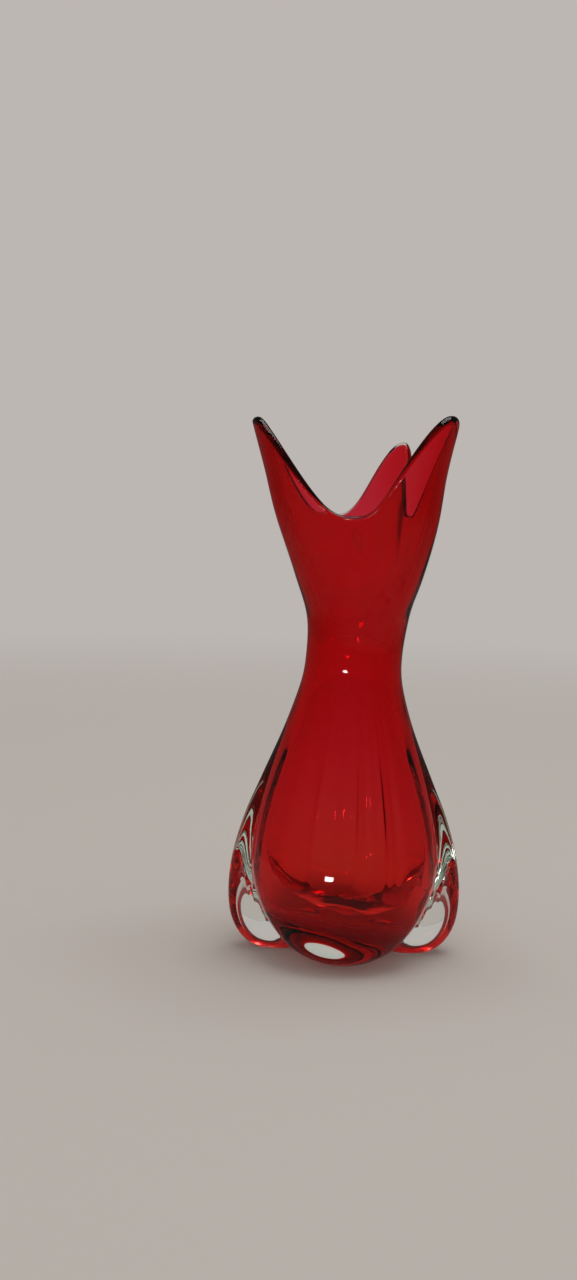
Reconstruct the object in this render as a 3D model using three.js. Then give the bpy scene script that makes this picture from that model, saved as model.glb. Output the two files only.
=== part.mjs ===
// Hand blown glass vase: a red inner bubble cased in clear glass, standing on a foot of
// four thick clear lobes, with a waisted neck and a mouth pulled out into three petals.
//
// Units are millimetres, +Z is up and the front faces -Y. The vase is built around its
// blowing axis. The group is then moved so that the origin is under the middle of its box.
import * as THREE from 'three';

// ---------------------------------------------------------------- driving dimensions
const NECK_HEIGHT = 167;         // narrowest place of the wall
const NECK_RADIUS = 26.8;
const DIP_HEIGHT = 244;          // lip at the bottom of each dip
const DIP_RADIUS = 35.5;
const TIP_HEIGHT = 299;          // lip at the top of a full petal
const TIP_RADIUS = 60.5;
const FOOT_RADIUS = 65;          // crest of a lobe
const RUBY_THICKNESS = 2.4;      // red glass, measured across the wall
const SEAM_GAP = 0.3;            // clearance that keeps two fused layers apart
const LOBE_EDGE = 0.8;           // thickness of a lobe along its edge
const SWAY = 4;                  // the hand-turned neck stands this far off the axis
const SWAY_HEIGHT = 210;
const SWAY_REACH = 50;

const AROUND = 60;               // steps around the axis
const ROWS_OUTSIDE = 22;         // steps up the outside of the wall
const ROWS_INSIDE = 15;          // steps up the bubble
const LOBE_FIRST_ROW = 2;        // rows of the wall that a lobe runs between
const LOBE_LAST_ROW = 13;

// Azimuth is measured from the front (-Y) towards +X, in degrees. The foot has a broad lobe
// at the front and at the back, and a narrow one at each side. A crease parts two lobes. It
// starts under the foot and swings towards the side as it climbs.
const CREASE = { top: 74, swing: 16, reach: 23 };
const CREASES = [
  { facing: 0, turn: 1, error: 1 },
  { facing: 180, turn: -1, error: -1 },
  { facing: 180, turn: 1, error: 2 },
  { facing: 360, turn: -1, error: -2 },
];

// One lobe from each crease to the next. Reach is the lobe's share of the full swelling.
const LOBES = [
  { name: 'foot_lobe_right', reach: 1 },
  { name: 'foot_lobe_back', reach: 0.85 },
  { name: 'foot_lobe_left', reach: 1 },
  { name: 'foot_lobe_front', reach: 0.82 },
];
const LOBE_SHARPNESS = 1.1;      // how much a lobe peaks at its crest

// The lip rises from each dip to a petal's tip and falls to the next dip. Reach is the
// petal's share of the full rise, and a slimmer petal rises closer to its tip.
const DIPS = [-5, 108, 218];
const PETALS = [
  { tip: 62, reach: 1, slimness: 2.6 },
  { tip: 149, reach: 0.78, slimness: 4 },
  { tip: 281, reach: 0.96, slimness: 3 },
];
const TIP_ROUNDNESS = 2.5;

// ---------------------------------------------------------------- profiles
// Each profile runs from the axis to the lip as [radius, height]. The outside of the wall
// is round in the valleys between the lobes and swells to the crest of each lobe.
const VALLEY = [
  [0, 6], [14, 6], [24, 7], [33, 11], [41, 18], [48.5, 29], [53, 43], [53.5, 58],
  [50.5, 76], [44.8, 98], [36, 126],
];
const CREST = [
  [0, 6], [14, 5], [26, 0.5], [39, -2], [54, 3], [62.5, 15], [FOOT_RADIUS, 32], [63, 53],
  [56.5, 76], [47.5, 98], [36, 126],
];
const NECK = [[28.6, 150], [NECK_RADIUS, NECK_HEIGHT], [28.4, 188]];
const DIP = [[30.5, 206], [33, 225], [34.7, 236], [DIP_RADIUS, DIP_HEIGHT]];
const TIP = [[37, 212], [47, 243], [53, 271], [TIP_RADIUS, TIP_HEIGHT]];

// The hollow inside the bubble.
const HOLLOW = [
  [0, 14], [14, 15], [27.5, 18.5], [37.5, 27], [42.2, 41], [42.8, 60], [39.3, 83],
  [31.5, 113], [23.8, 141], [19.4, NECK_HEIGHT], [21.4, 188],
];
const HOLLOW_DIP = [[24.5, 206], [28.5, 226], [30.6, 235.5], [32, 242]];
const HOLLOW_TIP = [[30.5, 212], [42, 243], [48.5, 269], [54.5, 291]];

// ---------------------------------------------------------------- shape functions
const radians = (degrees) => THREE.MathUtils.degToRad(degrees);

function points(a, b, share) {
  return a.map(([r, z], i) => new THREE.Vector2(
    THREE.MathUtils.lerp(r, b[i][0], share(i)),
    THREE.MathUtils.lerp(z, b[i][1], share(i)),
  ));
}

// Azimuth counted on from a first one, by less than a full turn.
const onFrom = (first, azimuth) => first + THREE.MathUtils.euclideanModulo(azimuth - first, 360);

// How far the lip has risen at an azimuth: 0 in a dip, the petal's reach at its tip.
function petalShare(azimuth) {
  const turn = onFrom(DIPS[0], azimuth);
  const i = DIPS.findLastIndex((dip) => dip <= turn);
  const { tip, reach, slimness } = PETALS[i];
  const dip = turn < tip ? DIPS[i] : (DIPS[i + 1] ?? DIPS[0] + 360);
  const climbed = ((turn - dip) / (tip - dip)) ** slimness;
  return reach * (1 - (1 - climbed) ** TIP_ROUNDNESS);
}

// The azimuths of the four creases at a height.
function creasesAt(height) {
  const away = CREASE.top - CREASE.swing * Math.exp(-height / CREASE.reach);
  return CREASES.map(({ facing, turn, error }) => facing + turn * away + error);
}

// How far a lobe has swollen at an azimuth and height: 0 in a crease, its reach on its crest.
function lobeShare(azimuth, height) {
  const creases = creasesAt(height);
  const turn = onFrom(creases[0], azimuth);
  const i = creases.findLastIndex((crease) => crease <= turn);
  const along = (turn - creases[i]) / ((creases[i + 1] ?? creases[0] + 360) - creases[i]);
  return (LOBES[i].reach * Math.sin(Math.PI * along)) ** LOBE_SHARPNESS;
}

// The outer wall, with or without its foot swollen into lobes.
function outsideCurve(azimuth, swollen) {
  const swelling = (i) => {
    const height = Math.max(0, (VALLEY[i][1] + CREST[i][1]) / 2);
    return swollen ? lobeShare(azimuth, height) : 0;
  };
  return new THREE.SplineCurve([
    ...points(VALLEY, CREST, swelling),
    ...points(NECK, NECK, () => 0),
    ...points(DIP, TIP, () => petalShare(azimuth)),
  ]);
}

function hollowCurve(azimuth) {
  return new THREE.SplineCurve([
    ...points(HOLLOW, HOLLOW, () => 0),
    ...points(HOLLOW_DIP, HOLLOW_TIP, () => petalShare(azimuth)),
  ]);
}

// A point of a curve moved sideways, to the right of the way it runs.
function beside(curve, t, distance) {
  const tangent = curve.getTangent(THREE.MathUtils.clamp(t, 0.001, 0.999));
  const point = curve.getPoint(t);
  point.x = Math.max(0, point.x + tangent.y * distance);
  point.y -= tangent.x * distance;
  return point;
}

function place({ x: radius, y: height }, azimuth) {
  const angle = radians(azimuth);
  const sway = SWAY * Math.exp(-(((height - SWAY_HEIGHT) / SWAY_REACH) ** 2));
  return [radius * Math.sin(angle) + sway, -radius * Math.cos(angle), height];
}

function steps(count, from = 0, to = 1) {
  return Array.from({ length: count + 1 }, (_, i) => from + ((to - from) * i) / count);
}

function geometryFrom(corners, triangles) {
  const geometry = new THREE.BufferGeometry();
  geometry.setAttribute('position', new THREE.Float32BufferAttribute(corners.flat(), 3));
  geometry.setIndex(triangles.flat());
  geometry.computeVertexNormals();
  return geometry;
}

// Two triangles, cut along the shorter diagonal so that parallel skins are cut alike.
function splitQuad(corners, [a, b, c, d]) {
  const span = (i, k) => Math.hypot(...corners[i].map((value, n) => value - corners[k][n]));
  return span(a, c) < span(b, d) ? [[a, b, c], [a, c, d]] : [[a, b, d], [b, c, d]];
}

// A closed body from one profile for each azimuth, with both ends on the axis.
function turned(profileAt) {
  const azimuths = steps(AROUND, 0, 360).slice(0, AROUND);
  const profiles = azimuths.map(profileAt);
  const last = profiles[0].length - 1;
  const corners = [place(profiles[0][0], 0), place(profiles[0][last], 0)];
  for (let row = 1; row < last; row += 1) {
    azimuths.forEach((azimuth, j) => corners.push(place(profiles[j][row], azimuth)));
  }
  const at = (row, j) => 2 + (row - 1) * AROUND + (j % AROUND);
  const triangles = [];
  for (let j = 0; j < AROUND; j += 1) {
    triangles.push([0, at(1, j + 1), at(1, j)]);
    triangles.push([1, at(last - 1, j), at(last - 1, j + 1)]);
    for (let row = 1; row < last - 1; row += 1) {
      const ring = [at(row, j), at(row, j + 1), at(row + 1, j + 1), at(row + 1, j)];
      triangles.push(...splitQuad(corners, ring));
    }
  }
  return geometryFrom(corners, triangles);
}

// ---------------------------------------------------------------- the red bubble
function rubyBubble() {
  return turned((azimuth) => {
    const hollow = hollowCurve(azimuth);
    const rows = steps(ROWS_INSIDE);
    return [
      ...rows.map((t) => beside(hollow, t, RUBY_THICKNESS)),
      ...rows.reverse().map((t) => hollow.getPoint(t)),
    ];
  });
}

// ---------------------------------------------------------------- the clear casing
// The wall runs up the outside, over the lip and down the hollow to the red glass's edge,
// where it steps back behind the red and follows it down to the middle of the bottom.
function clearCasing() {
  const LIP_ROUND = 0.35;
  const LIP_GAP = 1.2;
  return turned((azimuth) => {
    const outside = outsideCurve(azimuth, false);
    const hollow = hollowCurve(azimuth);
    const lip = outside.getPoint(1);
    const redEdge = hollow.getPoint(1);
    const insideLip = redEdge.clone().lerp(lip, 1 - LIP_ROUND);
    insideLip.x -= LIP_ROUND * (lip.x - redEdge.x);
    const aboveRed = beside(hollow, 1, 0);
    const upwards = hollow.getTangent(0.999).multiplyScalar(LIP_GAP);
    aboveRed.add(upwards);
    const behindRed = beside(hollow, 1, RUBY_THICKNESS + SEAM_GAP).add(upwards);
    return [
      ...steps(ROWS_OUTSIDE).map((t) => outside.getPoint(t)),
      insideLip,
      aboveRed,
      behindRed,
      ...steps(ROWS_INSIDE).reverse()
        .map((t) => beside(hollow, t, RUBY_THICKNESS + SEAM_GAP)),
    ];
  });
}

// ---------------------------------------------------------------- the lobes of the foot
// A lobe lies on the round wall between two creases and swells away from it. Its underside
// is ground flat where it would reach below the ground.
const CREASE_GAP = 1;            // degrees left free beside each crease

function footLobe(index) {
  const rows = steps(ROWS_OUTSIDE).slice(LOBE_FIRST_ROW, LOBE_LAST_ROW + 1);
  const round = outsideCurve(0, false);
  const azimuthAt = (share, t) => {
    const creases = creasesAt(Math.max(0, round.getPoint(t).y));
    const from = creases[index] + CREASE_GAP;
    const to = (creases[index + 1] ?? creases[0] + 360) - CREASE_GAP;
    return THREE.MathUtils.lerp(from, to, share);
  };
  const width = azimuthAt(1, 0) - azimuthAt(0, 0);
  const shares = steps(Math.ceil((width * AROUND) / 360) + 2);
  const grid = (pointAt) => shares.map((share) => rows.map((t) => {
    const azimuth = azimuthAt(share, t);
    return place(pointAt(azimuth, t), azimuth);
  }));
  const backs = grid((azimuth, t) => beside(round, t, SEAM_GAP));
  const fronts = grid((azimuth, t) => {
    const point = beside(outsideCurve(azimuth, true), t, SEAM_GAP + LOBE_EDGE);
    point.y = Math.max(0, point.y);
    return point;
  });
  const wide = shares.length;
  const high = rows.length;
  const corners = [...backs.flat(), ...fronts.flat()];
  const back = (i, k) => i * high + k;
  const front = (i, k) => wide * high + i * high + k;
  const triangles = [];
  const quad = (...ring) => triangles.push(...splitQuad(corners, ring));
  for (let i = 0; i < wide - 1; i += 1) {
    for (let k = 0; k < high - 1; k += 1) {
      quad(front(i, k), front(i + 1, k), front(i + 1, k + 1), front(i, k + 1));
      quad(back(i, k), back(i, k + 1), back(i + 1, k + 1), back(i + 1, k));
    }
    quad(back(i, 0), back(i + 1, 0), front(i + 1, 0), front(i, 0));
    quad(front(i, high - 1), front(i + 1, high - 1), back(i + 1, high - 1), back(i, high - 1));
  }
  for (let k = 0; k < high - 1; k += 1) {
    quad(back(0, k), front(0, k), front(0, k + 1), back(0, k + 1));
    quad(front(wide - 1, k), back(wide - 1, k), back(wide - 1, k + 1), front(wide - 1, k + 1));
  }
  return geometryFrom(corners, triangles);
}

// ---------------------------------------------------------------- assembly
const rubyGlass = new THREE.MeshStandardMaterial({
  name: 'ruby_glass', color: 0xa5101c, roughness: 0.03, metalness: 0,
  transparent: true, opacity: 0.75,
});
const clearGlass = new THREE.MeshStandardMaterial({
  name: 'clear_glass', color: 0xe6ece4, roughness: 0.03, metalness: 0,
  transparent: true, opacity: 0.35,
});

const vase = new THREE.Group();

function add(name, geometry, material) {
  const mesh = new THREE.Mesh(geometry, material);
  mesh.name = name;
  vase.add(mesh);
}

add('ruby_bubble', rubyBubble(), rubyGlass);
add('clear_casing', clearCasing(), clearGlass);
LOBES.forEach(({ name }, index) => add(name, footLobe(index), clearGlass));

const box = new THREE.Box3().setFromObject(vase);
const middle = box.getCenter(new THREE.Vector3());
vase.position.set(-middle.x, -middle.y, -box.min.z);

export default vase;
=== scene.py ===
# %% [markdown]
# # A hand blown glass vase
#
# The real vase is made at the furnace in three steps. A bubble of red glass is blown first.
# It is then gathered over with clear crystal, which makes the thick outer wall. Last, the
# hot clear glass of the foot is pulled and squeezed into lobes, and the mouth is pulled out
# into petals. Nothing on it is cut or turned, so every surface is a soft, fire polished skin.
#
# Here each of those bodies of glass is its own closed mesh, in metres, in the same frame as
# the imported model. This first cell loads that model and keeps its box, so that the size can
# be compared at the end.

import math

import bmesh
import bpy
import numpy as np
from mathutils import Matrix, Vector


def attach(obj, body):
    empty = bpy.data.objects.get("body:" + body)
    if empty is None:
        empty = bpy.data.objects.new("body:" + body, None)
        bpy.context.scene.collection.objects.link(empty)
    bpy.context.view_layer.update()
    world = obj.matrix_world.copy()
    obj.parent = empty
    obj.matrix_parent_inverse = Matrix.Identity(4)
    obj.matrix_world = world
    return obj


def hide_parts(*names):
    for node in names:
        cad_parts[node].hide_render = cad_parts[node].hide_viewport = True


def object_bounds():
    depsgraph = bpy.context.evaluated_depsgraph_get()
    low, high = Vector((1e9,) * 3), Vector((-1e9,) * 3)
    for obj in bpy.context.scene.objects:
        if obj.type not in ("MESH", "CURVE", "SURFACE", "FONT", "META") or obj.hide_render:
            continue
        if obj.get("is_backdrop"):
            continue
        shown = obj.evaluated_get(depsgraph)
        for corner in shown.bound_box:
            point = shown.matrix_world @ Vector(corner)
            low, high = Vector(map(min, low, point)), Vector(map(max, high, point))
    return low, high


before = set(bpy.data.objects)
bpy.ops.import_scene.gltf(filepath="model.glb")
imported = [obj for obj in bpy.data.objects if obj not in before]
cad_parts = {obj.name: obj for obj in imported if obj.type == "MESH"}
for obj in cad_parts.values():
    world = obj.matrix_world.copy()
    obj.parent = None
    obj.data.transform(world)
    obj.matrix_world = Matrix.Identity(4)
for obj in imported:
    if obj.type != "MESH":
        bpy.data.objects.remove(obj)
cad_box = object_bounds()
print("nodes:", list(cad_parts))
print("CAD box, mm:", [[round(1000 * c, 2) for c in corner] for corner in cad_box])

# %% [markdown]
# ## Colours
#
# A maker picks a colour by eye, and colours picked by eye are written in sRGB. The renderer
# counts light, so it needs linear values. One function turns the first into the second.


# %% Linear colour
def linear(hex_code):
    """An sRGB colour such as "c8102e" as linear red, green, blue and alpha."""
    steps = [int(hex_code[i:i + 2], 16) / 255 for i in (0, 2, 4)]
    light = [s / 12.92 if s <= 0.04045 else ((s + 0.055) / 1.055) ** 2.4 for s in steps]
    return (*light, 1.0)


print("sRGB 808080 is linear", round(linear("808080")[0], 3))

# %% [markdown]
# ## The outline of the wall
#
# A blown vessel is round about its blowing axis before the tools touch it, so it could be
# spun from one outline. The tools then change that outline with the direction you look
# from: the foot swells into lobes, and the lip climbs into petals. So the shape is one
# outline for each direction, and each outline is a smooth curve through a few points of
# [radius, height] in millimetres, from the middle of the bottom up to the lip.
#
# A Catmull-Rom curve is used because it passes through its points, just as a jack or a
# paddle touches the glass at the places that the maker chooses.

# %% Points on the outline
NECK_HEIGHT, NECK_RADIUS = 167, 26.8
DIP_HEIGHT, DIP_RADIUS = 244, 35.5
TIP_HEIGHT, TIP_RADIUS = 299, 60.5
FOOT_RADIUS = 65

VALLEY = [(0, 6), (14, 6), (24, 7), (33, 11), (41, 18), (48.5, 29), (53, 43), (53.5, 58),
          (50.5, 76), (44.8, 98), (36, 126)]
CREST = [(0, 6), (14, 5), (26, 0.5), (39, -2), (54, 3), (62.5, 15), (FOOT_RADIUS, 32),
         (63, 53), (56.5, 76), (47.5, 98), (36, 126)]
NECK = [(28.6, 150), (NECK_RADIUS, NECK_HEIGHT), (28.4, 188)]
DIP = [(30.5, 206), (33, 225), (34.5, 235), (DIP_RADIUS, DIP_HEIGHT - 1.8)]
TIP = [(37, 212), (47, 243), (53, 271), (TIP_RADIUS - 0.8, TIP_HEIGHT - 2.3)]

HOLLOW = [(0, 15.7), (14, 16.7), (27.5, 20.5), (37.5, 27), (42.2, 41), (42.8, 60), (39.3, 83),
          (31.5, 113), (23.8, 141), (19.4, NECK_HEIGHT), (21.4, 188)]
HOLLOW_DIP = [(24.5, 206), (28.5, 226), (30.6, 235.5), (32, 242.4)]
HOLLOW_TIP = [(30.5, 212), (41, 243), (47.5, 270), (54.3, 295.8)]
print("outside points:", len(VALLEY + NECK + DIP), "hollow points:", len(HOLLOW + HOLLOW_DIP))

# %% [markdown]
# ## Petals and lobes
#
# The lip has three dips and three petals, spaced unevenly by hand. Between a dip and a
# petal's tip the lip climbs along a soft S, which `petal_share` gives as a number from 0 in
# the dip to 1 at the tip of a full petal.
#
# The foot has a broad lobe at the front and at the back and a narrow fin at each side. The
# creases between them start under the foot and swing towards the sides as they climb.
# `lobe_share` is 0 in a crease and 1 on the crest of a lobe.

# %% How far the lip has climbed and the foot has swollen
DIPS = [-5, 108, 218, 355]
PETALS = [(62, 1, 2.6), (149, 0.78, 4), (281, 0.96, 3)]
TIP_ROUNDNESS = 2.5
CREASE_TOP, CREASE_SWING, CREASE_REACH = 74, 16, 23
CREASES = [(0, 1, 1), (180, -1, -1), (180, 1, 2), (360, -1, -2)]
LOBES = {"foot_lobe_right": 1, "foot_lobe_back": 0.85, "foot_lobe_left": 1,
         "foot_lobe_front": 0.82}
LOBE_SHARPNESS = 1.1


def petal_share(azimuth):
    turn = (azimuth - DIPS[0]) % 360 + DIPS[0]
    share = np.zeros_like(turn)
    for (tip, reach, slimness), low, high in zip(PETALS, DIPS[:-1], DIPS[1:]):
        here = (turn >= low) & (turn < high)
        dip = np.where(turn < tip, low, high)
        climbed = np.clip((turn - dip) / (tip - dip), 0, 1) ** slimness
        share = np.where(here, reach * (1 - (1 - climbed) ** TIP_ROUNDNESS), share)
    return share


def creases_at(height):
    away = CREASE_TOP - CREASE_SWING * np.exp(-height / CREASE_REACH)
    return [facing + turn * away + error for facing, turn, error in CREASES]


def lobe_share(azimuth, height):
    edges = creases_at(height)
    turn = (azimuth - edges[0]) % 360 + edges[0]
    share = np.zeros(np.broadcast(turn, edges[0]).shape)
    for reach, low, high in zip(LOBES.values(), edges, edges[1:] + [edges[0] + 360]):
        here = (turn >= low) & (turn < high)
        share = np.where(here, reach * np.sin(np.pi * (turn - low) / (high - low)), share)
    return share ** LOBE_SHARPNESS


print("lip share at the petal tips:", petal_share(np.array([62.0, 149.0, 281.0])).round(2))

# %% [markdown]
# ## Curves and skins
#
# All the outlines are worked out at once as arrays, which is far quicker than one point at
# a time. `curve` finds points on the outlines, `beside` moves them sideways by a wall
# thickness, and `place` swings them round to their direction. The neck leans a little to one
# side, because a hot neck always sways as the pipe turns.

# %% From outlines to points in space
SWAY, SWAY_HEIGHT, SWAY_REACH = 4, 210, 50
RUN_OUT_DEPTH = 1.5


def curve(knots, along):
    """Points of Catmull-Rom curves. knots is (directions, knots, 2); along runs from 0 to 1."""
    place_on = np.asarray(along, float) * (knots.shape[1] - 1)
    i = np.clip(np.floor(place_on).astype(int), 0, knots.shape[1] - 2)
    w = np.broadcast_to(place_on - i, knots.shape[:1] + np.shape(along)[-1:])[..., None]

    def knot(k):
        k = np.clip(k, 0, knots.shape[1] - 1)
        return knots[:, k] if k.ndim == 1 else np.take_along_axis(knots, k[..., None], 1)

    before, start, end, after = knot(i - 1), knot(i), knot(i + 1), knot(i + 2)
    leave, arrive = (end - before) / 2, (after - start) / 2
    return ((2 * start - 2 * end + leave + arrive) * w**3
            + (3 * end - 3 * start - 2 * leave - arrive) * w**2 + leave * w + start)


def beside(knots, along, distance):
    """Points of the curves moved sideways, to the right of the way the curves run."""
    on = np.clip(along, 0.001, 0.999)
    tangent = curve(knots, on + 1e-4) - curve(knots, on - 1e-4)
    tangent /= np.linalg.norm(tangent, axis=-1, keepdims=True)
    point = curve(knots, along).copy()
    point[..., 0] = np.maximum(0, point[..., 0] + tangent[..., 1] * distance)
    point[..., 1] -= tangent[..., 0] * distance
    return point


def place(outline, azimuth):
    """[radius, height] in mm at each azimuth as x, y, z in metres."""
    angle = np.radians(azimuth)
    angle = angle[:, None] if angle.ndim == 1 else angle
    radius, height = outline[..., 0], outline[..., 1]
    sway = SWAY * np.exp(-(((height - SWAY_HEIGHT) / SWAY_REACH) ** 2))
    spot = [radius * np.sin(angle) + sway, -radius * np.cos(angle), height]
    return np.stack(spot, -1) / 1000


def outside_knots(azimuth, swollen):
    valley, crest = np.array(VALLEY, float), np.array(CREST, float)
    height = np.maximum((valley[:, 1] + crest[:, 1]) / 2, 0)
    share = lobe_share(azimuth[:, None], height) if swollen else 0
    foot = valley + (crest - valley) * np.broadcast_to(share, azimuth.shape + (11,))[..., None]
    neck = np.broadcast_to(np.array(NECK, float), azimuth.shape + (len(NECK), 2))
    dip, tip = np.array(DIP, float), np.array(TIP, float)
    lip = dip + (tip - dip) * petal_share(azimuth)[:, None, None]
    return np.concatenate([foot, neck, lip], 1)


def under_lobes_at(knots, along, distance=0.0):
    """The round wall below the lobes. It dips a little where the lobes run out at their top."""
    run_out = np.clip(along * 17 - 8, 0, 3) / 3
    return beside(knots, along, distance - RUN_OUT_DEPTH * np.sin(np.pi * run_out) ** 2)


def hollow_knots(azimuth):
    deep = np.broadcast_to(np.array(HOLLOW, float), azimuth.shape + (len(HOLLOW), 2))
    dip, tip = np.array(HOLLOW_DIP, float), np.array(HOLLOW_TIP, float)
    lip = dip + (tip - dip) * petal_share(azimuth)[:, None, None]
    return np.concatenate([deep, lip], 1)


AROUND, ROWS = 360, 150
azimuths = np.arange(AROUND) * 360 / AROUND
rows = np.linspace(0, 1, ROWS + 1)
print("directions:", AROUND, "rows:", ROWS + 1)

# %% [markdown]
# ## Layers that are fused
#
# On the real vase the red and the clear are fused: light crosses the seam between them
# without bending, because both are the same kind of glass. Only the skins that meet the air
# bend it. So every face carries a number, `seam`: 1 where it lies against another gather
# and 0 where it meets the air, and the glass material reads it. The layers are kept six
# hundredths of a millimetre apart, because faces that share a place confuse the renderer.
#
# A body of glass here is a grid of rings closed on itself, built directly from arrays.

# %% Build a closed body from a grid
SEAM_GAP = 0.06


def body(name, grid, strips, closed=True, normals=None, ends=()):
    """A mesh from grid[direction, row]. strips holds the seam value of each band of faces."""
    wide, high = grid.shape[:2]
    i, k = np.meshgrid(np.arange(wide if closed else wide - 1), np.arange(high - 1), indexing="ij")
    j = (i + 1) % wide
    quads = np.stack([i * high + k, j * high + k, j * high + k + 1, i * high + k + 1], -1)
    faces = quads.reshape(-1, 4).tolist() + [list(end) for end in ends]
    seam = np.concatenate([np.broadcast_to(strips, i.shape).ravel(), np.ones(len(ends))])
    mesh = bpy.data.meshes.new(name)
    mesh.from_pydata(grid.reshape(-1, 3).tolist(), [], faces)
    mesh.attributes.new("seam", "FLOAT", "FACE").data.foreach_set("value", seam)
    if closed:
        shape = bmesh.new()
        shape.from_mesh(mesh)
        bmesh.ops.remove_doubles(shape, verts=shape.verts, dist=1e-7)
        shape.to_mesh(mesh)
        shape.free()
    mesh.shade_smooth()
    if normals is not None:
        own = np.empty(len(mesh.vertices) * 3)
        mesh.vertex_normals.foreach_get("vector", own)
        own = own.reshape(wide, high, 3)
        known = ~np.isnan(normals[..., 0])
        own[known] = normals[known]
        mesh.normals_split_custom_set_from_vertices(own.reshape(-1, 3).tolist())
    piece = bpy.data.objects.new(name, mesh)
    bpy.context.scene.collection.objects.link(piece)
    print(name, "faces:", len(mesh.polygons))
    return piece


# %% [markdown]
# ## The ruby bubble
#
# The red layer is thin, because strong colour needs little depth: about 1.5 mm in the body,
# where the bubble was blown widest, and up to 3 mm in the neck, where it was not stretched.
# The thin places glow orange and the thick ones go deep red, as they do on real ruby glass,
# so the wall makes a part of the change of colour up the vase.
#
# A blown hollow is never quite even. It keeps soft upright ribs from the mould it was first
# blown into, and a few sharper folds that lean a little as they climb, because the glass
# twists on the pipe. They show as dark upright streaks. The front dip of the lip is pressed
# in with a tool. The bottom is not level: it tilts up towards the back left and steps down
# towards the right, and through the thick foot this shows as one pale spot with a dark
# swirl beside it. All of these are pushed into the hollow as small smooth waves.

# %% Blow the red bubble
RIBS, RIB_DEPTH = 16, 0.3
WAVY_HEIGHT, FOLD_HEIGHT, WAVY_REACH = 85, 82, 42
SMOOTH_BELOW, SMOOTH_FADE = 36, 30
FOLD_LEAN = 1 / 30
DIP_PRESS, PRESS_HEIGHT, PRESS_REACH, PRESS_WIDTH = 1.8, 226, 10, 7
HAND_WAVE = 0.2
BOTTOM_TILT, BOTTOM_HIGH, TILT_REACH = 4.5, math.radians(225), 34
BOTTOM_STEP, STEP_WIDTH, STEP_REACH = 1.6, 6, 40
FOLDS = [(-23, 2.4, 0.8), (-10, 3.0, -0.7), (4, 1.9, 1.3), (12, 2.6, -0.9), (24, 2.4, 1.0),
         (34, 2.8, -0.8), (158, 3.0, 0.9), (171, 2.4, -0.8), (186, 2.6, 1.1), (199, 3.2, -0.9)]


def hollow_at(azimuth, along, distance=0.0):
    """The hollow with its waves, moved outwards by a distance in mm."""
    point = beside(hollow_knots(azimuth), along, distance)
    angle = np.radians(azimuth)[:, None]
    height = point[..., 1]
    clear_of_bottom = np.clip((height - SMOOTH_BELOW) / SMOOTH_FADE, 0, 1)
    in_body = np.exp(-(((height - WAVY_HEIGHT) / WAVY_REACH) ** 2)) * np.cos(angle) ** 2
    wave = RIB_DEPTH * np.cos(RIBS * angle + 0.9 * np.sin(2 * angle)) * in_body * clear_of_bottom
    for at, width, depth in FOLDS:
        aside = (azimuth[:, None] - at - height * FOLD_LEAN + 180) % 360 - 180
        upward = (height - FOLD_HEIGHT) / WAVY_REACH
        wave += depth * np.exp(-((aside / width) ** 2) - upward**2) * clear_of_bottom
    pressed = (azimuth[:, None] - DIPS[0] + 180) % 360 - 180
    upward = (height - PRESS_HEIGHT) / PRESS_REACH
    wave -= DIP_PRESS * np.exp(-((pressed / PRESS_WIDTH) ** 2) - upward**2)
    wave += HAND_WAVE * np.sin(3 * angle + height / 19) * np.clip(height / 60, 0, 1)
    point[..., 0] += wave * np.clip(point[..., 0] / 20, 0, 1)
    tilt = np.exp(-((height / TILT_REACH) ** 2)) * np.clip(point[..., 0] / 30, 0, 1)
    point[..., 1] += BOTTOM_TILT * tilt * np.cos(angle - BOTTOM_HIGH)
    across = point[..., 0] * np.sin(angle)
    step = BOTTOM_STEP * (0.4 - np.tanh(across / STEP_WIDTH))
    step *= np.exp(-((point[..., 0] / STEP_REACH) ** 2))
    point[..., 1] += step * np.clip(1.6 - height / 30, 0, 1)
    return point


def ruby_thickness(azimuth, along):
    height = curve(hollow_knots(azimuth), along)[..., 1]
    thick = np.interp(height, [14, 60, 110, 165, 200, 244], [1.5, 1.5, 1.9, 2.6, 2.7, 2.5])
    return thick + 1.3 * petal_share(azimuth)[:, None] * np.clip((height - 205) / 55, 0, 1)


def half_round(start, end, steps, bulge=0.5):
    """Rows that round over from start to end, as fire polishing leaves an edge."""
    middle, half = (start + end) / 2, (end - start) / 2
    up = np.stack([-half[..., 1], half[..., 0]], -1) * 2 * bulge
    up *= np.where(up[..., 1:] < 0, -1, 1)
    turn = np.linspace(0, math.pi, steps + 2)[1:-1]
    across, over = np.cos(turn)[:, None], np.sin(turn)[:, None]
    return middle[:, None] - half[:, None] * across + up[:, None] * over


thickness = ruby_thickness(azimuths, rows)
red_inside = hollow_at(azimuths, rows)
red_outside = hollow_at(azimuths, rows, thickness)
red_edge = half_round(red_outside[:, -1], red_inside[:, -1], 5)
red = np.concatenate([red_outside, red_edge, red_inside[:, ::-1]], 1)
meets_air = np.arange(red.shape[1] - 1) >= ROWS + red_edge.shape[1]
ruby_bubble = body("ruby_glass_bubble", place(red, azimuths), np.where(meets_air, 0.0, 1.0))
print("red layer, mm:", thickness.min().round(2), "to", thickness.max().round(2))

# %% [markdown]
# ## The clear casing
#
# The second gather covers the red and makes the outer wall. Its outer skin runs up to the
# lip and rolls over it in a round bead, which is what a flame does to a cut edge, and the
# layer ends where it meets the red again on the inside. The skin is marked as seam in the
# foot too, because the lobes lie on it there.

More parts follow.
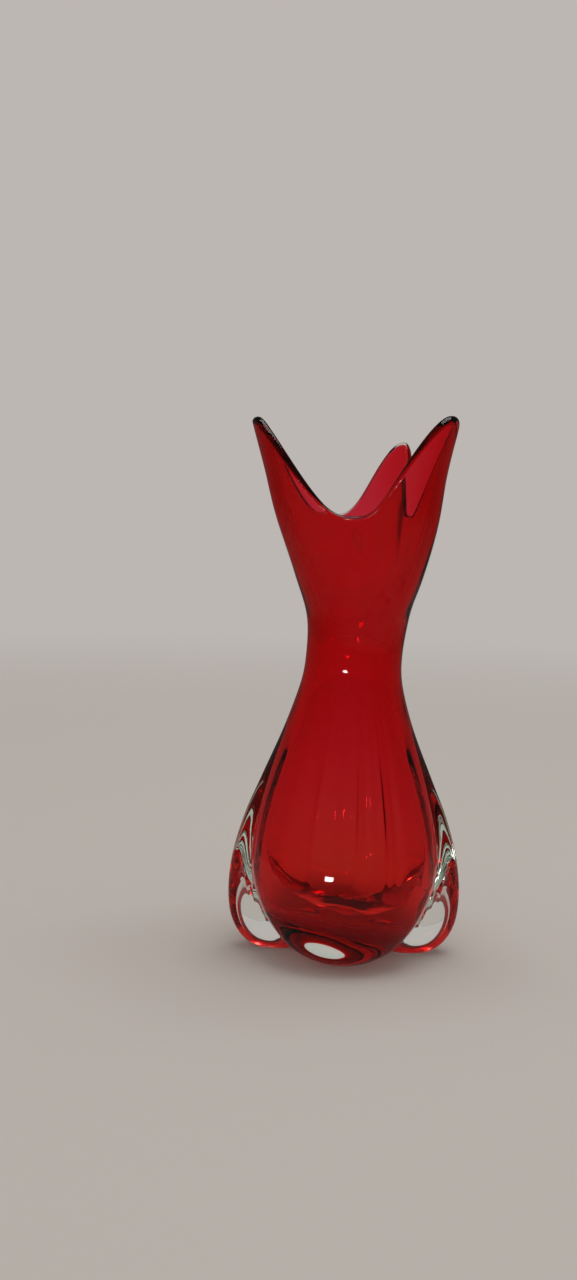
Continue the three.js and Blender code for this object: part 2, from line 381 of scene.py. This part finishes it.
# %% Gather the clear casing
LOBES_FROM, LOBES_TO = 1 / 17, 11 / 17
ROWS_BELOW, ROWS_UNDER, ROWS_ABOVE = 5, 95, 59
casing_rows = np.concatenate([np.linspace(0, LOBES_FROM, ROWS_BELOW + 1)[:-1],
                              np.linspace(LOBES_FROM, LOBES_TO, ROWS_UNDER + 1)[:-1],
                              np.linspace(LOBES_TO, 1, ROWS_ABOVE + 1)])
wall = under_lobes_at(outside_knots(azimuths, False), casing_rows)
behind_red = hollow_at(azimuths, rows, thickness + SEAM_GAP)
over_red = hollow_at(azimuths, np.array([1.0]), -SEAM_GAP)[:, 0]
over_edge = half_round(behind_red[:, -1], over_red, 5)
bead = half_round(wall[:, -1], over_red, 9)
clear = np.concatenate([wall, bead, over_red[:, None], over_edge[:, ::-1],
                        behind_red[:, ::-1]], 1)
strip = np.arange(clear.shape[1] - 1)
under_lobes = (strip >= ROWS_BELOW) & (strip < ROWS_BELOW + ROWS_UNDER)
inner = strip >= wall.shape[1] + bead.shape[1]
clear_casing = body("clear_glass_casing", place(clear, azimuths),
                    np.where(under_lobes | inner, 1.0, 0.0))

# %% [markdown]
# ## The lobes of the foot
#
# While the foot is still soft the maker squeezes creases into it and pulls out the glass
# between them. Each lobe is a cushion of clear glass lying on the round wall: its back
# follows the wall, its front swells to a crest, and both run out to nothing in the creases
# and at the top. The underside is ground flat where it stands.
#
# The front skin gets its shading normals from the formula itself and not from its own
# faces, so that it flows into the casing at the top with no line between them.

# %% Pull the lobes
def lobe_grid(index, swollen, offset, turn_by=0.0, along_by=0.0):
    """Points of a lobe's skin between its two creases, in metres."""
    share = (1 - np.cos(np.linspace(0, np.pi, 121))) / 2
    along = np.linspace(LOBES_FROM, LOBES_TO, ROWS_UNDER + 1)
    round_wall = curve(outside_knots(np.zeros(1), False), along)[0]
    edges = creases_at(np.maximum(0, round_wall[:, 1]))
    low = edges[index] + 0.02
    high = (edges + [edges[0] + 360])[index + 1] - 0.02
    azimuth = low + (high - low) * share[:, None] + turn_by
    fade = np.minimum(1, 0.15 + np.minimum(along - LOBES_FROM, LOBES_TO - along) * 40)
    skin = np.empty(azimuth.shape + (2,))
    for k in range(len(along)):
        knots = outside_knots(azimuth[:, k], swollen)
        follow = beside if swollen else under_lobes_at
        skin[:, k] = follow(knots, along[k:k + 1] + along_by, offset * fade[k])[:, 0]
    if swollen:
        skin[..., 1] = np.maximum(skin[..., 1], 0)
    return place(skin, azimuth)


def foot_lobe(index, name):
    back = lobe_grid(index, False, SEAM_GAP)
    front = lobe_grid(index, True, 2 * SEAM_GAP)
    around = lobe_grid(index, True, 2 * SEAM_GAP, 0.05) - lobe_grid(index, True, 2 * SEAM_GAP, -0.05)
    upward = (lobe_grid(index, True, 2 * SEAM_GAP, 0, 5e-4)
              - lobe_grid(index, True, 2 * SEAM_GAP, 0, -5e-4))
    normal = np.cross(around, upward)
    normal /= np.maximum(np.linalg.norm(normal, axis=-1, keepdims=True), 1e-12)
    grid = np.concatenate([front, back[:, ::-1]], 1)
    wide, high = grid.shape[:2]
    known = np.full(grid.shape, np.nan)
    known[:, :front.shape[1]] = normal
    half = front.shape[1]
    seam = np.where(np.arange(high - 1) < half - 1, 0.0, 1.0)
    first = [[k, k + 1, high - 2 - k, high - 1 - k] for k in range(half - 1)]
    last = [[(wide - 1) * high + v for v in quad[::-1]] for quad in first]
    under = [[i * high, i * high + high - 1, (i + 1) * high + high - 1, (i + 1) * high]
             for i in range(wide - 1)]
    return body(name, grid, seam, closed=False, normals=known, ends=first + last + under)


lobes = {name: foot_lobe(i, name.replace("foot_lobe", "clear_glass_lobe"))
         for i, name in enumerate(LOBES)}


# %% [markdown]
# ## Ruby glass and clear crystal
#
# Both are soda glass with a refractive index near 1.5, gathered molten and fire polished,
# so the skin is almost a perfect mirror and the roughness stays close to 0. Two things keep
# it from looking like plastic or a computer's glass:
#
# * The skin is not flat. Tools, gravity and the blowing leave gentle waves some 25 mm long
#   and cords a few millimetres wide, and they bend the reflections and what shows through.
# * The colour is in the depth. Absorption takes green and blue out of the light for each
#   millimetre that it crosses, so thick glass is dark and thin glass is bright. Clear crystal
#   takes out a very little of red, which gives its thick edges a cool grey-green.
#
# Where the foot is ground flat it is frosted, as grit leaves it. Each node is added by one
# small function, with its settings and its links.

# %% One function for every node
def add(tree, kind, links=None, **settings):
    """Adds a node. settings fill its fields, and links join its inputs, by name or number."""
    node = tree.nodes.new(kind)
    for field, value in settings.items():
        setattr(node, field, value)
    for socket, source in (links or {}).items():
        if isinstance(source, bpy.types.NodeSocket):
            tree.links.new(source, node.inputs[socket])
        else:
            node.inputs[socket].default_value = source
    return node


# %% [markdown]
# The waves are worked out in millimetres. A noise texture's scale is how many blobs fit in a
# metre, so a wave of 25 mm is a scale of 1000 / 25.

# %% Fire polished, hot worked glass
WAVE_MM, CORD_MM, GRIT_MM = 26, 5, 0.4
INDEX = 1.5


def fire_polished_glass(name, skin, absorbs, density):
    """Solid glass of one colour. skin tints the surface a little; absorbs colours the depth."""
    glass = bpy.data.materials.new(name)
    glass.use_nodes = True
    tree = glass.node_tree
    tree.nodes.clear()
    where = add(tree, "ShaderNodeTexCoord").outputs["Object"]
    drawn = add(tree, "ShaderNodeMapping", {"Vector": where, "Scale": (1.0, 1.0, 0.35)}).outputs[0]
    waves = add(tree, "ShaderNodeTexNoise", {"Vector": drawn, "Scale": 1000 / WAVE_MM, "Detail": 1.0})
    cords = add(tree, "ShaderNodeTexNoise", {"Vector": drawn, "Scale": 1000 / CORD_MM, "Detail": 2.0})
    hills = add(tree, "ShaderNodeBump", {"Height": waves.outputs["Fac"], "Strength": 0.22,
                                         "Distance": 0.001})
    skin_bump = add(tree, "ShaderNodeBump", {"Height": cords.outputs["Fac"], "Strength": 0.05,
                                             "Distance": 0.0002, "Normal": hills.outputs[0]})
    height = add(tree, "ShaderNodeSeparateXYZ", {0: where}).outputs["Z"]
    ground = add(tree, "ShaderNodeMapRange", {"Value": height, 1: 0.0001, 2: 0.0004,
                                              3: 1.0, 4: 0.0}).outputs[0]
    grit = add(tree, "ShaderNodeTexNoise", {"Vector": where, "Scale": 1000 / GRIT_MM}).outputs["Fac"]
    frosted = add(tree, "ShaderNodeMath", {0: ground, 1: grit}, operation="MULTIPLY").outputs[0]
    touched = add(tree, "ShaderNodeMapRange", {"Value": waves.outputs["Fac"], 1: 0.45, 2: 0.75,
                                               3: 0.0, 4: 0.02})
    rough = add(tree, "ShaderNodeMath", {0: frosted, 1: 0.7, 2: touched.outputs[0]},
                operation="MULTIPLY_ADD")
    heat = add(tree, "ShaderNodeMapRange", {"Value": height, 1: 0.03, 2: 0.17}).outputs[0]
    drift = add(tree, "ShaderNodeMath", {0: cords.outputs["Fac"], 1: 0.3, 2: heat},
                operation="MULTIPLY_ADD")
    tint = add(tree, "ShaderNodeMix", {0: drift.outputs[0], 6: linear(skin[0]),
                                       7: linear(skin[1])}, data_type="RGBA")
    air = add(tree, "ShaderNodeBsdfPrincipled", {
        "Base Color": tint.outputs[2], "Roughness": rough.outputs[0], "IOR": INDEX,
        "Transmission Weight": 1.0, "Normal": skin_bump.outputs[0]})
    fused = add(tree, "ShaderNodeBsdfTransparent")
    seam = add(tree, "ShaderNodeAttribute", attribute_name="seam").outputs["Fac"]
    surface = add(tree, "ShaderNodeMixShader", {0: seam, 1: air.outputs[0], 2: fused.outputs[0]})
    depth = add(tree, "ShaderNodeVolumeAbsorption", {"Color": absorbs, "Density": density})
    add(tree, "ShaderNodeOutputMaterial", {"Surface": surface.outputs[0], "Volume": depth.outputs[0]})
    print(name, "nodes:", len(tree.nodes))
    return glass


# %% [markdown]
# What a metre of glass takes out of each colour is the density times what the absorption
# colour lacks of white. For the ruby that leaves about 93 % of the red, 32 % of the green and
# 36 % of the blue after 1 mm. Two walls of 1.5 mm still let four fifths of the red through
# and glow, and two walls of 3 mm let only a deep red through.
#
# The foot is more orange than the neck by more than the wall explains. Some ruby glasses get
# their colour as they are reheated, from orange to a cooler red, and the neck and lip are
# reheated most often, so that is a likely reason. Here a tint of the skin
# stands in for it: warm at the foot and cooler from the neck upwards.

# %% Colour the gathers
ruby = fire_polished_glass("ruby_glass_blown", ("fff280", "ffc8ff"), (0.935, 0.0, 0.12, 1), 1150)
crystal = fire_polished_glass("clear_crystal_hot_worked", ("ffffff", "f6faf6"),
                              (0.72, 1.0, 0.86, 1), 4)

pieces = {"ruby_bubble": ruby_bubble, "clear_casing": clear_casing, **lobes}
for node, piece in pieces.items():
    red_one = node == "ruby_bubble"
    piece.data.materials.append(ruby if red_one else crystal)
    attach(piece, "root")
    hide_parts(node)
print("pieces:", [piece.name for piece in pieces.values()])

# %% [markdown]
# ## Floor, room and light
#
# Glass shows the room more than itself, so the room is kept plain: a pale matt floor that
# fades out into a pale surround, which leaves no horizon line to show through the vase. The
# surround and the floor are much dimmer to rays that were reflected. That is a lighting
# choice and not physics: it stands for a dark room behind the person who looks, and without
# it the reflection would lie over the red like milk. A refracted ray still sees both at
# full strength.

# %% Floor and surround
def mirrored_rays(tree):
    """A node that gives 1 for rays that were mirrored and 0 for all others."""
    ray = add(tree, "ShaderNodeLightPath").outputs
    return add(tree, "ShaderNodeMath", {0: ray["Is Glossy Ray"], 1: ray["Is Transmission Ray"]},
               operation="SUBTRACT", use_clamp=True)


SURROUND, FLOOR, FLOOR_RADIUS = "bdb7b3", "cdc9c4", 4.0
floor_mesh = bpy.data.meshes.new("floor")
turns = np.linspace(0, 2 * math.pi, 97)[:-1]
rim = [(FLOOR_RADIUS * math.cos(a), FLOOR_RADIUS * math.sin(a), -0.0001) for a in turns]
floor_mesh.from_pydata(rim, [], [range(len(rim))])
floor = bpy.data.objects.new("floor", floor_mesh)
bpy.context.scene.collection.objects.link(floor)

plaster = bpy.data.materials.new("matt_painted_board")
plaster.use_nodes = True
tree = plaster.node_tree
tree.nodes.clear()
where = add(tree, "ShaderNodeTexCoord").outputs["Object"]
grain = add(tree, "ShaderNodeTexNoise", {"Vector": where, "Scale": 1000 / 6, "Detail": 3.0})
bump = add(tree, "ShaderNodeBump", {"Height": grain.outputs["Fac"], "Strength": 0.1, "Distance": 0.0003})
paint = add(tree, "ShaderNodeBsdfPrincipled", {"Base Color": linear(FLOOR), "Roughness": 0.85,
                                               "Specular IOR Level": 0.1, "Normal": bump.outputs[0]})
away = add(tree, "ShaderNodeVectorMath", {0: where}, operation="LENGTH").outputs["Value"]
fade = add(tree, "ShaderNodeMapRange", {"Value": away, 1: 0.45, 2: 2.2, 3: 0.0, 4: 1.0},
           interpolation_type="SMOOTHSTEP").outputs[0]
mirrored = mirrored_rays(tree)
faint = add(tree, "ShaderNodeMath", {0: mirrored.outputs[0], 1: 0.8, 2: fade},
            operation="MULTIPLY_ADD", use_clamp=True)
gone = add(tree, "ShaderNodeBsdfTransparent")
board = add(tree, "ShaderNodeMixShader", {0: faint.outputs[0], 1: paint.outputs[0], 2: gone.outputs[0]})
add(tree, "ShaderNodeOutputMaterial", {"Surface": board.outputs[0]})
floor_mesh.materials.append(plaster)
floor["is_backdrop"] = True

room = bpy.data.worlds.new("pale_room")
bpy.context.scene.world = room
room.use_nodes = True
tree = room.node_tree
tree.nodes.clear()
mirrored = mirrored_rays(tree)
power = add(tree, "ShaderNodeMapRange", {"Value": mirrored.outputs[0], 3: 1.0, 4: 0.12})
walls = add(tree, "ShaderNodeBackground", {"Color": linear(SURROUND), "Strength": power.outputs[0]})
add(tree, "ShaderNodeOutputWorld", {"Surface": walls.outputs[0]})
print("surround:", SURROUND, "floor:", FLOOR)

# %% [markdown]
# ## Lamps
#
# A wide panel overhead gives a soft contact shadow. A small panel in front, a little to the
# left, is the window whose reflection makes the bright spots on the neck and the body.

# %% Soft lamps


def panel(name, at, aim, size, watts):
    lamp = bpy.data.lights.new(name, "AREA")
    lamp.shape, lamp.size, lamp.size_y, lamp.energy = "RECTANGLE", *size, watts
    holder = bpy.data.objects.new(name, lamp)
    holder.location = at
    holder.rotation_euler = (Vector(aim) - Vector(at)).to_track_quat("-Z", "Y").to_euler()
    bpy.context.scene.collection.objects.link(holder)
    print(name, "at", [round(c, 2) for c in at])


WINDOW_TURN, WINDOW_AWAY = math.radians(-17), 2.6
panel("window", (WINDOW_AWAY * math.sin(WINDOW_TURN), -WINDOW_AWAY * math.cos(WINDOW_TURN), 0.30),
      (0, 0, 0.13), (0.46, 0.13), 5)
panel("overhead", (0.3, 0.2, 2.2), (0, 0, 0), (1.6, 1.6), 16)

# %% [markdown]
# ## Camera
#
# The eye is a little above the lip's dips, about 0.9 m away and tipped down 5 degrees, as
# for somebody who looks at a vase on a table from close by.

# %% Camera
EYE_AWAY, EYE_HEIGHT = 0.890, 0.252
camera_data = bpy.data.cameras.new("camera")
camera_data.sensor_fit = "VERTICAL"
camera_data.sensor_height, camera_data.lens = 36, 45
camera = bpy.data.objects.new("camera", camera_data)
bpy.context.scene.collection.objects.link(camera)
camera.matrix_world = (Matrix.Translation((0, -EYE_AWAY, EYE_HEIGHT))
                       @ Matrix.Rotation(math.radians(2.25), 4, "Z")
                       @ Matrix.Rotation(math.radians(85), 4, "X")
                       @ Matrix.Rotation(math.radians(1.6), 4, "Z"))
bpy.context.scene.camera = camera
bpy.context.scene.view_settings.view_transform = "Standard"
print("camera at", [round(c, 3) for c in camera.location])

# %% [markdown]
# ## Light through many skins
#
# A ray that looks through the vase meets the outer skin, two seams, the hollow, and the
# same again behind, and it bounces inside the thick foot. With too few bounces it ends
# there and leaves a black patch, so the limits are raised.

# %% Bounces
cycles = bpy.context.scene.cycles
cycles.max_bounces = cycles.transmission_bounces = 40
cycles.transparent_max_bounces = 64
cycles.glossy_bounces, cycles.diffuse_bounces, cycles.volume_bounces = 12, 4, 4
print("bounces:", cycles.max_bounces)

# %% [markdown]
# ## Size
#
# The visual model is meant to fill the same box as the imported model, so both boxes are
# printed side by side.

# %% Print both boxes and finish
look_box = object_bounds()
boxes = {"cad": [list(corner) for corner in cad_box],
         "visual": [list(corner) for corner in look_box]}
for which, corners in boxes.items():
    print(which, [[round(1000 * c, 2) for c in corner] for corner in corners])
